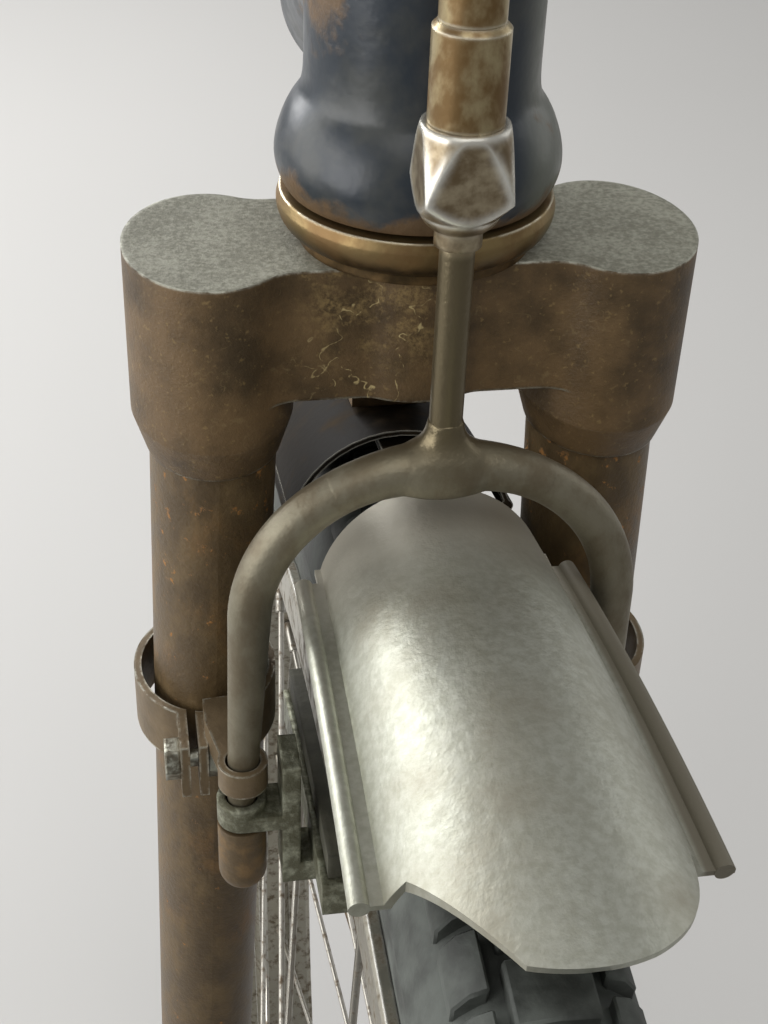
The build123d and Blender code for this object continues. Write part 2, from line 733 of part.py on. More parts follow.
# Stay: one wire from eye to eye that crosses over the rear mudguard
stay_arc_r = rear_arc_r + stay_r
stay_middle = guard_r + stay_r - stay_arc_r
stay_low = guard_r - rear_drop
stay_x = sqrt(stay_arc_r ** 2 - (stay_low - stay_middle) ** 2) + 0.6
eye_x = end_x + end_thick / 2 + stay_gap + stay_r
with BuildPart() as stay:
    across = around(stay_angle)
    with BuildLine(across):
        over = ThreePointArc((-stay_x, stay_low), (0, guard_r + stay_r), (stay_x, stay_low))
    with BuildSketch(Plane(origin=over @ 0, z_dir=over % 0)):
        Circle(stay_r)
    sweep()
    for sign in sides.values():
        bend = across.from_local_coords((sign * stay_x, stay_low, 0))
        eye = axle_spot + back * eye_back - up * eye_drop + left * sign * eye_x
        ray = eye - bend
        with BuildSketch(Plane(origin=bend, z_dir=ray)):
            Circle(stay_r)
        extrude(amount=ray.length - eye_r + 0.7)
        with Locations(bend):
            Sphere(stay_knuckle)
        with BuildSketch(Plane(origin=eye, x_dir=back, z_dir=left)):
            Circle(eye_r)
            Circle(eye_hole_r, mode=Mode.SUBTRACT)
        extrude(amount=stay_r, both=True)
save(stay, "mudguard_stay")

for name, sign in sides.items():
    with BuildPart() as stay_bolt:
        head_spot = axle_spot + back * eye_back - up * eye_drop + left * sign * (eye_x + stay_r)
        with BuildSketch(Plane(origin=head_spot, x_dir=back, z_dir=left * sign)):
            RegularPolygon(4, 6, major_radius=False)
        extrude(amount=3.5)
        with BuildSketch(Plane(origin=head_spot, x_dir=back, z_dir=left * sign)):
            Circle(eye_hole_r - slip)
        extrude(amount=-(2 * stay_r + stay_gap + end_thick + 1))
    save(stay_bolt, f"stay_bolt_{name}")

# Guide clips: a band on each blade with ears, a bolt and an eye around the stirrup's arm
clip_share = (clip_h - socket_h) / (bend_start - socket_h)
clip_x = socket_x + splay * (clip_h - socket_h)
clip_a = blade_a * (1 - 0.07 * clip_share) + clip_gap
clip_b = blade_b * (1 - 0.10 * clip_share) + clip_gap
leg_lean = atan2(stirrup_half - arm_corner, arm_end - stirrup_h)
guide_mid = guide_h - guide_thick / 2
arm_x = stirrup_half - (arm_end - guide_mid) * tan(leg_lean)
arm_r = arm_low_r + (arm_top_r - arm_low_r) * (arm_end - guide_mid) / (arm_end - stirrup_h - arm_bend)
ear_x = clip_x + 4.5
ear_y = -clip_b - ear_length / 2 + 1.5
bolt_y = ear_y - 1.5
for name, sign in sides.items():
    with BuildPart() as clip:
        with BuildSketch(level(-clip_h - clip_band / 2)):
            with Locations((sign * (clip_x + clip_slack), 0)):
                Ellipse(clip_a + clip_slack + clip_wall, clip_b + clip_wall)
            with Locations((sign * ear_x, ear_y)):
                Rectangle(ear_thick, ear_length)
        extrude(amount=clip_band)
        with BuildSketch(level(-clip_h - clip_band / 2)):
            with Locations((sign * (clip_x + clip_slack), 0)):
                Ellipse(clip_a + clip_slack, clip_b)
            with Locations((sign * ear_x, ear_y)):
                Rectangle(ear_slot, ear_length + 2 * clip_wall)
        extrude(amount=clip_band, mode=Mode.SUBTRACT)
        with BuildSketch(level(-guide_h)):
            with BuildLine():
                Polyline((sign * (ear_x - 2.2), ear_y - 3), (sign * (ear_x - 2.2), -clip_b - 1),
                         (sign * (clip_x - 5), -clip_b - 0.4), (sign * (arm_x - 3.5), -rod_forward),
                         (sign * (arm_x + 3.5), -rod_forward), (sign * (ear_x - 2.2), ear_y - 3))
            make_face()
            with Locations((sign * arm_x, -rod_forward)):
                Circle(guide_eye_r)
        extrude(amount=guide_thick)
        with BuildSketch(level(-guide_h)):
            with Locations((sign * arm_x, -rod_forward)):
                Circle(arm_r + guide_gap)
        extrude(amount=guide_thick, mode=Mode.SUBTRACT)
        with BuildSketch(Plane(origin=spot(sign * ear_x, bolt_y, -clip_h), x_dir=back, z_dir=left)):
            Circle(clip_bolt_r + slip)
        extrude(amount=ear_thick, both=True, mode=Mode.SUBTRACT)
    save(clip, f"guide_clip_{name}")
    with BuildPart() as clip_bolt:
        with BuildSketch(Plane(origin=spot(sign * ear_x, bolt_y, -clip_h), x_dir=back, z_dir=left)):
            Circle(clip_bolt_r)
        extrude(amount=ear_thick / 2 + 1, both=True)
        for turn in (1, -1):
            head = spot(sign * ear_x + turn * ear_thick / 2, bolt_y, -clip_h)
            with BuildSketch(Plane(origin=head, x_dir=back, z_dir=left * turn)):
                RegularPolygon(3.4, 6, major_radius=False)
            extrude(amount=2.8)
    save(clip_bolt, f"clip_bolt_{name}")

# Stirrup: the lower rod and the arch are brazed into one piece at a flared hub
rod_axis = Axis(spot(0, -rod_forward, 0), up)
tangent = arm_bend * tan((radians(90) - leg_lean) / 2)
with BuildPart() as stirrup:
    with BuildSketch(level(-stirrup_h, 0, -rod_forward)):
        Circle(rod_r)
    extrude(amount=stirrup_h + sleeve_high - 2)
    with BuildSketch(facing(-rod_forward)):
        with BuildLine():
            flare_top = hub_flare_h - stirrup_h
            Line((0, flare_top), (rod_r, flare_top))
            RadiusArc((rod_r, flare_top), (hub_flare_r, -stirrup_h), -hub_hollow)
            ThreePointArc((hub_flare_r, -stirrup_h), (0.7 * hub_flare_r, -stirrup_h - 0.75 * hub_drop),
                          (0, -stirrup_h - hub_drop))
            Line((0, -stirrup_h - hub_drop), (0, flare_top))
        make_face()
    revolve(axis=rod_axis)
    for sign in sides.values():
        knee = facing(-rod_forward).from_local_coords(
            (sign * (arm_corner + tangent * sin(leg_lean)), -stirrup_h - tangent * cos(leg_lean), 0))
        hand = facing(-rod_forward).from_local_coords((sign * stirrup_half, -arm_end, 0))
        with BuildLine() as arch:
            start = spot(0, -rod_forward, -stirrup_h)
            shoulder = Line(start, start + left * sign * (arm_corner - tangent))
            TangentArc(shoulder @ 1, knee, tangent=shoulder % 1)
        with BuildSketch(Plane(origin=start, x_dir=up, z_dir=left * sign)):
            Circle(arm_top_r)
        sweep()
        with BuildSketch(Plane(origin=knee, x_dir=back, z_dir=hand - knee)):
            Circle(arm_top_r)
        with BuildSketch(Plane(origin=hand, x_dir=back, z_dir=hand - knee)):
            Circle(arm_low_r)
        loft()
        with BuildSketch(level(-arm_end - arm_end_pin, sign * stirrup_half, -rod_forward)):
            Circle(pin_r)
        extrude(amount=arm_end_pin + 2)
save(stirrup, "brake_stirrup")

# Nut, sleeve and upper rod: the length of the brake rod is set here
with BuildPart() as rod_nut:
    with BuildSketch(level(nut_low, 0, -rod_forward)):
        Rectangle(rod_nut_flats, rod_nut_flats)
    extrude(amount=nut_high - nut_low)
    with BuildSketch(facing(-rod_forward)):
        with BuildLine():
            Polyline((0, nut_low), (0.47 * rod_nut_flats, nut_low), (0.71 * rod_nut_flats, nut_low + 0.26 * rod_nut_flats),
                     (0.5 * rod_nut_flats, nut_high), (0, nut_high), (0, nut_low))
        make_face()
    revolve(axis=rod_axis, mode=Mode.INTERSECT)
    with BuildSketch(facing(-rod_forward)):
        with BuildLine():
            dome_low = (nut_foot + nut_low) / 2
            Polyline((0, nut_low), (0, nut_foot), (nut_foot_r, nut_foot), (nut_foot_r, dome_low))
            ThreePointArc((nut_foot_r, dome_low), (0.42 * rod_nut_flats, (dome_low + nut_low) / 2),
                          (0.47 * rod_nut_flats, nut_low))
            Line((0.47 * rod_nut_flats, nut_low), (0, nut_low))
        make_face()
    revolve(axis=rod_axis)
    with BuildSketch(level(nut_foot, 0, -rod_forward)):
        Circle(rod_r + slip)
    extrude(amount=nut_high - nut_foot, mode=Mode.SUBTRACT)
save(rod_nut, "rod_nut")

with BuildPart() as sleeve:
    with BuildSketch(level(nut_high, 0, -rod_forward)):
        Circle(sleeve_r)
        Circle(rod_r + slip, mode=Mode.SUBTRACT)
    extrude(amount=sleeve_high - nut_high)
    chamfer(sleeve.faces().sort_by(steer_axis)[-1].outer_wire().edges(), 0.8)
save(sleeve, "rod_sleeve")

with BuildPart() as upper_rod:
    with BuildSketch(level(sleeve_high, 0, -rod_forward)):
        Circle(upper_rod_r)
    extrude(amount=rod_top - sleeve_high)
    chamfer(upper_rod.faces().sort_by(steer_axis)[-1].edges(), 1)
save(upper_rod, "brake_rod")

# Shoes: each pad lies under one of the rim's tracks, in a channel clamped to the arm's pin
pad_high = rim_track - pad_gap
pad_low = pad_high - pad_depth
pad_angle = -degrees(asin((axle_forward - rod_forward + pad_back) / pad_high))
pad_half = degrees(pad_length / 2 / pad_high)
holder_side = pad_x + pad_width / 2 + holder_wall
lug_top = arm_end + lug_gap
lug_h = lug_top + lug_thick
cheek_in = rim_half + cheek_gap
cheek_out = cheek_in + cheek_thick
cheek_top = arm_end - cheek_rise
heel_top = -axle_drop + sqrt(pad_low ** 2 - (axle_forward - rod_forward + foot_r) ** 2) - slip
heel = heel_top - heel_thick
for name, sign in sides.items():
    with BuildPart() as pad:
        with BuildSketch(around(pad_angle - pad_half)):
            with Locations((sign * pad_x, pad_high - pad_depth / 2)):
                Rectangle(pad_width, pad_depth)
        revolve(axis=axle_axis, revolution_arc=2 * pad_half)
    save(pad, f"brake_pad_{name}")
    with BuildPart() as holder:
        with BuildSketch(around(pad_angle - pad_half - 0.2)):
            with Locations((sign * pad_x, pad_low + holder_lip / 2 - holder_wall)):
                Rectangle(pad_width + 2 * holder_wall, holder_lip)
            with Locations((sign * pad_x, pad_high - pad_depth / 2)):
                Rectangle(pad_width + 2 * slip, pad_depth + 2 * slip, mode=Mode.SUBTRACT)
        revolve(axis=axle_axis, revolution_arc=2 * pad_half + 0.2)
        with BuildSketch(around(pad_angle + pad_half)):
            with Locations((sign * pad_x, pad_low + holder_lip / 2 - holder_wall)):
                Rectangle(pad_width + 2 * holder_wall, holder_lip)
        revolve(axis=axle_axis, revolution_arc=0.35)
        with BuildSketch(facing(-rod_forward)):
            with BuildLine():
                Polyline((sign * heel_x, heel), (sign * cheek_out, heel), (sign * cheek_out, -lug_h),
                         (sign * stirrup_half, -lug_h), (sign * stirrup_half, -lug_top),
                         (sign * cheek_out, -lug_top), (sign * cheek_out, -cheek_top),
                         (sign * cheek_in, -cheek_top), (sign * cheek_in, heel_top),
                         (sign * heel_x, heel_top), (sign * heel_x, heel))
            make_face()
        extrude(amount=foot_r, both=True)
        with BuildSketch(level(-lug_h, sign * stirrup_half, -rod_forward)):
            Circle(foot_r)
        extrude(amount=lug_thick + barrel_rise)
        with BuildSketch(level(-lug_h, sign * stirrup_half, -rod_forward)):
            Circle(pin_r + slip)
        extrude(amount=lug_thick, mode=Mode.SUBTRACT)
        with BuildSketch(level(-lug_top, sign * stirrup_half, -rod_forward)):
            Circle(arm_low_r + guide_gap)
        extrude(amount=barrel_rise, mode=Mode.SUBTRACT)
    save(holder, f"shoe_holder_{name}")
    with BuildPart() as foot:
        with BuildSketch(facing(-rod_forward)):
            with BuildLine():
                middle = sign * stirrup_half
                Line((middle, -foot_low), (middle, -lug_h - foot_gap))
                Line((middle, -lug_h - foot_gap), (middle + foot_r, -lug_h - foot_gap))
                Line((middle + foot_r, -lug_h - foot_gap), (middle + foot_r, -foot_low + foot_r))
                RadiusArc((middle + foot_r, -foot_low + foot_r), (middle, -foot_low), foot_r)
            make_face()
        revolve(axis=Axis(spot(sign * stirrup_half, -rod_forward, 0), up))
        with BuildSketch(level(-arm_end - arm_end_pin, sign * stirrup_half, -rod_forward)):
            Circle(pin_r + slip)
        extrude(amount=arm_end_pin, mode=Mode.SUBTRACT)
    save(foot, f"stirrup_foot_{name}")
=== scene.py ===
"""Front end of a vintage roadster bicycle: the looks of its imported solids, for Blender."""

import math

import bmesh
import bpy
from mathutils import Matrix, Vector


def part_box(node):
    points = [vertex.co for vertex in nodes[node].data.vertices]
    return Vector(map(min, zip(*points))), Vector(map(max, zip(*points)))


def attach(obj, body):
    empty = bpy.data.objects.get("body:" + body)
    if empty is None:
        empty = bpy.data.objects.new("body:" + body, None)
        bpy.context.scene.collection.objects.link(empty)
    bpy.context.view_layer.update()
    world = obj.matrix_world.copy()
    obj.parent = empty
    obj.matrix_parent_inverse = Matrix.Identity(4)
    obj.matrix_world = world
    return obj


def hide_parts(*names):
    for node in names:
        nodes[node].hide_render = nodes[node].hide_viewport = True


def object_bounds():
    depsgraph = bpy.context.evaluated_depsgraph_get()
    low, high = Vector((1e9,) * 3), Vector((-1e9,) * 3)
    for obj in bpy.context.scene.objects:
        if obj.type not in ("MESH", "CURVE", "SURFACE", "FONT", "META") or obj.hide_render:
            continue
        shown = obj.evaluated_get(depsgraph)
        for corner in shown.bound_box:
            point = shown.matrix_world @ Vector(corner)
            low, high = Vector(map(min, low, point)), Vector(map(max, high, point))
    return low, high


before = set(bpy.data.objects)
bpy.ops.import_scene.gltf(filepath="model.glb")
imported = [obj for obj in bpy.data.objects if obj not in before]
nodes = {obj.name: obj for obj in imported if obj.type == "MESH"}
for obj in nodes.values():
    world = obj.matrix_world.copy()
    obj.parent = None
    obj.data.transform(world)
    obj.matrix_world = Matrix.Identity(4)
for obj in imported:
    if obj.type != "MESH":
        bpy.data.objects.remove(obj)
cad_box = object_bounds()

# Head of the frame: a steel tube brazed into two lugs, all dipped in blue-black enamel.
# Rain has eaten the enamel along the lower lug's lip and in spots above it. On the head's
# left side a lighter greenish grey is painted in: a painted sheen.
steering = (0, 0.358368, 0.933580)    # the direction of the steering axis
crown_level = -0.024007               # the crown's top along that direction


class Tone:
    """One socket of a material. Sums and products of tones add Math nodes to it."""

    def __init__(self, tree, socket=None):
        self.tree, self.socket = tree, socket

    def add(self, kind, settings=None, *values, **named):
        """Puts in a node: settings first, then its sockets in order or by name."""
        node = self.tree.nodes.new("ShaderNode" + kind)
        settings = dict(settings or {})
        out = settings.pop("out", None)
        for name, value in settings.items():
            setattr(node, name, value)
        sockets = [s for s in node.inputs if s.enabled]
        pairs = list(zip(sockets, values))
        pairs += [(next(s for s in sockets if s.name == name.replace("_", " ")), value)
                  for name, value in named.items()]
        for socket, value in pairs:
            if isinstance(value, Tone):
                self.tree.links.new(value.socket, socket)
            else:
                socket.default_value = value
        outs = [s for s in node.outputs if s.enabled and out in (None, s.name)]
        return Tone(self.tree, outs[0] if outs else None)

    def math(self, operation, *values):
        return self.add("Math", {"operation": operation}, *values)

    def __add__(self, other):
        return self.math("ADD", self, other)

    def __sub__(self, other):
        return self.math("SUBTRACT", self, other)

    def __rsub__(self, other):
        return self.math("SUBTRACT", other, self)

    def __mul__(self, other):
        return self.math("MULTIPLY", self, other)

    __radd__, __rmul__ = __add__, __mul__

    def ramp(self, low, high, start=0.0, end=1.0):
        """Goes softly from start to end as this tone goes from low to high."""
        soft = {"interpolation_type": "SMOOTHSTEP"}
        return self.add("MapRange", soft, self, low, high, start, end)

    def mix(self, first, second):
        """The first colour where this tone is 0 and the second where it is 1."""
        colours = [c if isinstance(c, Tone) else (*c, 1) for c in (first, second)]
        return self.add("Mix", {"data_type": "RGBA"}, self, *colours)

    def place(self):
        """The point on the piece, in metres from the origin."""
        return self.add("TexCoord", {"out": "Object"})

    def dot(self, first, second):
        """The dot product of two vectors."""
        return self.add("VectorMath", {"operation": "DOT_PRODUCT", "out": "Value"}, first, second)

    def along(self, direction, start=0.0):
        """How far the point lies along a direction, in metres past start."""
        return self.dot(self.place(), direction) - start

    def height(self):
        """How far the point lies above the crown's top, along the steering axis."""
        return self.along(steering, crown_level)

    def facing(self, direction):
        """1 where the surface faces a direction and -1 where it faces away."""
        return self.dot(self.add("NewGeometry", {"out": "Normal"}), direction)

    def spots(self, size, detail=4.0, rough=0.55, stretch=(1, 1, 1), shift=0.0):
        """Cloudy noise with features about size metres across, squeezed along the axes."""
        move = (shift, shift * 0.7, -shift)
        place = self.add("Mapping", {}, self.place(), move, (0, 0, 0), stretch)
        return self.add("TexNoise", {}, place, Scale=1 / size, Detail=detail, Roughness=rough)

    def hairs(self, size, width):
        """Thin wandering lines, as scratches run."""
        off_middle = self.math("ABSOLUTE", self.spots(size, 3, 0.6) - 0.5)
        return off_middle.ramp(width, width * 0.3)

    def soft(self, width):
        """A Normal that rounds the edges over width metres."""
        return self.add("Bevel", {"samples": 6}, width)

    def edges(self, width, full=0.16):
        """1 along the edges, within width metres, and 0 on the faces.

        Edges that turn by a small angle need a lower full.
        """
        plain = self.add("NewGeometry", {"out": "Normal"})
        return (1 - self.dot(self.soft(width), plain)).ramp(0.01, full)

    def bump(self, strength, depth, under=None):
        """A Normal that follows this tone as a height of depth metres."""
        extra = {"Normal": under} if under else {}
        return self.add("Bump", {}, Strength=strength, Distance=depth, Height=self, **extra)


def finish(name):
    """A new material, and the tone that starts its nodes."""
    made = bpy.data.materials.new(name)
    made.use_nodes = True
    made.node_tree.nodes.clear()
    return made, Tone(made.node_tree)


def coat(tone, **sockets):
    """Ends a material on one shader with these sockets."""
    tone.add("OutputMaterial", {}, tone.add("BsdfPrincipled", {}, **sockets))


def dress(made, *names):
    """Gives CAD nodes this material."""
    for name in names:
        mesh = nodes[name].data
        mesh.materials.clear()
        mesh.materials.append(made)


enamel, tone = finish("blue_black_enamel")
lip = tone.height().ramp(0.0175, 0.0085)
right_side = tone.along((-1, 0, 0)).ramp(0.0115, 0.0160) * tone.height().ramp(0.032, 0.044)
# The head's left side is painted a lighter greenish grey: a painted sheen.
painted_sheen = tone.along((1, 0, 0)).ramp(0.0110, 0.0170)
eaten = tone.spots(0.010, 6, 0.58) * 0.80 + tone.spots(0.0022, 4) * 0.15
rust = (lip * 0.29 + right_side * 0.30 + eaten).ramp(0.57, 0.73)
stain = tone.spots(0.020, 5, 0.6, (1, 1, 1), 2.0).ramp(0.46, 0.66)
shade = tone.spots(0.004, 5, 0.6, (1, 1, 1), 6.0).mix((0.070, 0.042, 0.020), (0.185, 0.112, 0.052))
black = stain.mix((0.020, 0.028, 0.038), (0.050, 0.054, 0.052))
coat(tone, Base_Color=rust.mix(painted_sheen.mix(black, (0.105, 0.113, 0.092)), shade),
     Roughness=rust * 0.18 + tone.spots(0.007, 4).ramp(0.3, 0.8, 0.28, 0.44),
     Normal=(tone.spots(0.0010, 4) * rust).bump(
         0.5, 0.0003, tone.spots(0.007, 3).bump(0.18, 0.0010)))
dress(enamel, "head_tube", "lower_head_lug", "upper_head_lug")

# Bearings: two pressed cups in the lugs, the race on the crown and the screwed cone and
# lock nut on the steerer. The race is brass; only its rim is still rubbed bright.
steel, tone = finish("oiled_steel")
coat(tone, Base_Color=tone.spots(0.004).mix((0.16, 0.15, 0.13), (0.34, 0.32, 0.29)),
     Metallic=1.0, Roughness=tone.spots(0.002).ramp(0.3, 0.7, 0.28, 0.5))
dress(steel, "lower_ball_cup", "upper_ball_cup", "hub_cone_left", "hub_cone_right")

thread_pitch = 0.00106
threads, tone = finish("screwed_steel")
turn = tone.math("SINE", tone.height() * (2 * math.pi / thread_pitch))
coat(tone, Base_Color=tone.spots(0.004).mix((0.15, 0.13, 0.10), (0.33, 0.31, 0.27)),
     Metallic=1.0, Roughness=0.4, Normal=turn.bump(0.6, 0.0004))
dress(threads, "steerer")

axle_threads, tone = finish("screwed_axle")
turn = tone.math("SINE", tone.along((1, 0, 0)) * (2 * math.pi / thread_pitch))
coat(tone, Base_Color=tone.spots(0.004).mix((0.14, 0.12, 0.09), (0.33, 0.31, 0.27)),
     Metallic=1.0, Roughness=0.4, Normal=turn.bump(0.6, 0.0004))
dress(axle_threads, "front_axle")

brass, tone = finish("worn_race")
rim = tone.height().ramp(0.0045, 0.0065)
wear_and_painted_highlight = tone.edges(0.0008) * rim * tone.spots(0.006, 4).ramp(0.36, 0.52)
grime = tone.spots(0.006, 6).ramp(0.36, 0.66)
# The race is painted darker towards its foot on the crown: painted shade where it meets the crown.
band_with_painted_shade = tone.height().ramp(0.0030, 0.0075).mix((0.070, 0.046, 0.020), (0.300, 0.215, 0.095))
coat(tone, Base_Color=wear_and_painted_highlight.mix(grime.mix(band_with_painted_shade, (0.210, 0.130, 0.055)), (0.85, 0.80, 0.62)),
     Metallic=0.80, Roughness=0.36 - wear_and_painted_highlight * 0.10 + grime * 0.14,
     Normal=tone.spots(0.0010, 4).bump(0.20, 0.0003, tone.soft(0.0006)))
dress(brass, "crown_race")

nickel, tone = finish("dull_nickel")
spotted = tone.spots(0.003, 6).ramp(0.5, 0.72)
coat(tone, Base_Color=spotted.mix((0.44, 0.42, 0.37), (0.14, 0.10, 0.06)),
     Metallic=1 - spotted * 0.5, Roughness=0.3 + spotted * 0.35, Normal=tone.soft(0.0006))
dress(nickel, "top_cone", "lock_nut", "axle_nut_left", "axle_nut_right", "hub_shell")

# Crown: one casting, bored for the steerer and socketed for the blades. Its top is still
# rough from the sand; its sides carry the last of a brown paint, scratched to yellow ochre,
# and the rims are rubbed to bright metal.
casting, tone = finish("cast_crown")
top = tone.facing(steering).ramp(0.6, 0.9)
rims = tone.edges(0.0009) * tone.spots(0.0060, 5, 0.7).ramp(0.40, 0.60)
front = tone.math("ABSOLUTE", tone.along((1, 0, 0), -0.007)).ramp(0.017, 0.006)
high = tone.height().ramp(-0.022, -0.006)
scuff = front * high * tone.spots(0.0050, 4, 0.6, (1, 1, 1), 4.0).ramp(0.42, 0.62)
scuff = scuff * tone.spots(0.0009, 4, 0.7).ramp(0.35, 0.65)
broken = tone.spots(0.0016, 4, 0.6, (1, 1, 1), 9.0).ramp(0.44, 0.58)
scratch = tone.hairs(0.011, 0.007) * broken * (front * 0.9 + 0.1)
fleck = tone.spots(0.0011, 3, 0.6, (1, 1, 1), 1.0).ramp(0.60, 0.72)
side = tone.spots(0.012, 7, 0.62).ramp(0.30, 0.70)
side = side.mix((0.058, 0.037, 0.016), (0.158, 0.098, 0.043))
side = (scuff * 0.75 + fleck * 0.35).mix(side, (0.34, 0.235, 0.095))
side = scratch.mix(side, (0.46, 0.36, 0.17))
grit = tone.spots(0.00095, 3, 0.7) * 0.7 + tone.spots(0.009, 5) * 0.3
roof = grit.ramp(0.38, 0.64).mix((0.195, 0.191, 0.146), (0.350, 0.345, 0.278))
coat(tone, Base_Color=rims.mix(top.mix(side, roof), (0.60, 0.60, 0.50)),
     Metallic=rims * 0.6, Specular_IOR_Level=0.38,
     Roughness=top * 0.14 + 0.44 - rims * 0.14 + tone.spots(0.003, 4) * 0.10,
     Normal=(tone.spots(0.0008, 4, 0.7) + tone.spots(0.0040, 4) * 0.6).bump(
         0.45, 0.0004, tone.soft(0.0012)))
dress(casting, "fork_crown")

# Blades and fork ends: oval steel tubes brazed into the crown, painted black once, now
# brown with rust that glows orange in the pits, most of all under the sockets.
blade, tone = finish("rusty_blades")
near = tone.height().ramp(-0.085, -0.040)
patch = tone.spots(0.006, 7, 0.66, (1, 1, 0.5)).ramp(0.38, 0.72)
pits = (tone.spots(0.0032, 7, 0.72) + near * 0.050).ramp(0.63, 0.72)
glow = tone.spots(0.018, 4, 0.5, (1, 1, 1), 3.0).ramp(0.48, 0.66)
paint = tone.spots(0.02, 5).mix((0.048, 0.031, 0.014), (0.115, 0.075, 0.033))
paint = patch.mix(paint, glow.mix((0.145, 0.096, 0.042), (0.190, 0.105, 0.036)))
coat(tone, Base_Color=pits.mix(paint, (0.40, 0.185, 0.050)),
     Roughness=0.40 + pits * 0.30 + patch * 0.10, Specular_IOR_Level=0.38,
     Normal=(tone.spots(0.0011, 4, 0.65) + pits * 0.4).bump(0.45, 0.0004))
dress(blade, "fork_blade_left", "fork_blade_right", "fork_end_left", "fork_end_right")

# Mudguards: rolled sheet with a wired bead on each edge. The front flap has lost its
# enamel and shows bare steel, brown on its left bead; its rear end, in the crown's shade, is
# painted lighter and duller as painted light. The rear mudguard is still dark, with a painted
# highlight along its edges.
flap, tone = finish("bare_sheet_steel")
# The rear end, where the crown shades it, is painted lighter and less metallic: painted light.
painted_light_tail = tone.along((0, 1, 0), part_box("front_mudguard")[1][1]).ramp(-0.030, -0.004)
dents = tone.spots(0.0030, 3, 0.5, (1.0, 0.7, 0.7))
stain = tone.spots(0.030, 5, 0.55).ramp(0.46, 0.76)
dull = tone.spots(0.0016, 5, 0.65, (1, 1, 1), 2.0).ramp(0.35, 0.65)
bare = dull.mix((0.432, 0.434, 0.360), (0.518, 0.525, 0.452))
bare = painted_light_tail.mix(stain.mix(bare, (0.340, 0.315, 0.245)), (0.520, 0.490, 0.405))
bead = tone.along((1, 0.052, 0)).ramp(0.0164, 0.0176)
coat(tone, Base_Color=bead.mix(bare, (0.200, 0.180, 0.135)),
     Metallic=0.86 - painted_light_tail * 0.45 - bead * 0.40,
     Roughness=0.41 + stain * 0.06 + tone.spots(0.0016, 4) * 0.08 + bead * 0.15,
     Normal=dents.bump(0.16, 0.0008, tone.spots(0.0007, 3, 0.6).bump(0.26, 0.0002)))
dress(flap, "front_mudguard")

guard, tone = finish("brown_guard_enamel")
patch = tone.spots(0.012, 7).ramp(0.5, 0.7)
# Every edge is painted a light grey: a painted highlight along the edges.
wear_and_painted_highlight = tone.edges(0.0006)
base = patch.mix((0.012, 0.009, 0.006), (0.060, 0.042, 0.024))
coat(tone, Base_Color=wear_and_painted_highlight.mix(base, (0.42, 0.40, 0.34)),
     Roughness=0.56 + patch * 0.2, Specular_IOR_Level=0.06,
     Normal=tone.spots(0.002, 4).bump(0.25, 0.0004))
dress(guard, "rear_mudguard", "mudguard_strip")

rusty, tone = finish("rusty_fittings")
patch = tone.spots(0.004, 7, 0.65).ramp(0.4, 0.7)
coat(tone, Base_Color=patch.mix((0.115, 0.078, 0.038), (0.215, 0.135, 0.060)),
     Metallic=0.3, Roughness=0.5 + patch * 0.2,
     Normal=tone.spots(0.0012, 4).bump(0.4, 0.0004, tone.soft(0.0006)))
dress(rusty, "mudguard_bracket", "bracket_bolt", "mudguard_stay", "stay_bolt_left",
      "stay_bolt_right", "stirrup_foot_left", "stirrup_foot_right")

# Brake: a forged stirrup that lifts on its rod between two clips on the blades, a lock nut
# and a sleeve where its length is set, and two rubber pads in channels under the rim.
satin, tone = finish("satin_stirrup")
patch = tone.spots(0.006, 6, 0.6, (1, 1, 0.5)).ramp(0.38, 0.66)
stem = tone.height().ramp(-0.026, -0.018)
collar = tone.height().ramp(0.0115, 0.0135)
arch = patch.mix((0.222, 0.200, 0.142), (0.158, 0.130, 0.084))
shank = collar.mix((0.165, 0.135, 0.080), (0.38, 0.315, 0.20))
coat(tone, Base_Color=stem.mix(arch, shank), Metallic=0.62 + stem * 0.2,
     Roughness=0.40 + tone.spots(0.0022, 4) * 0.14 - stem * 0.12,
     Normal=tone.spots(0.0009, 4).bump(0.30, 0.0003))
dress(satin, "brake_stirrup")


def turned(build, section, centre, axis, out, steps, closed=True):
    """Turns a section of (along, out) pairs around an axis, as on a lathe."""
    axis, out = Vector(axis).normalized(), Vector(out)
    rings = []
    for step in range(steps):
        ray = Matrix.Rotation(2 * math.pi * step / steps, 3, axis) @ out
        rings.append([build.verts.new(centre + axis * a + ray * r) for a, r in section])
    for here, there in zip(rings, rings[1:] + rings[:1]):
        ends = list(range(len(section))) + ([0] if closed else [])
        for i, j in zip(ends, ends[1:]):
            build.faces.new((here[i], here[j], there[j], there[i]))
    if not closed:
        for end in (0, -1):
            build.faces.new([ring[end] for ring in (rings if end else rings[::-1])])


def piece(name, build, made, body, smooth=40):
    """Makes an object of a built mesh, with its material and body.

    Edges that turn by more than smooth degrees stay sharp.
    """
    bmesh.ops.recalc_face_normals(build, faces=build.faces)
    mesh = bpy.data.meshes.new(name)
    build.to_mesh(mesh)
    build.free()
    mesh.materials.append(made)
    for face in mesh.polygons:
        face.use_smooth = True
    mesh.set_sharp_from_angle(angle=math.radians(smooth))
    made_piece = bpy.data.objects.new(name, mesh)
    bpy.context.scene.collection.objects.link(made_piece)
    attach(made_piece, body)
    return made_piece


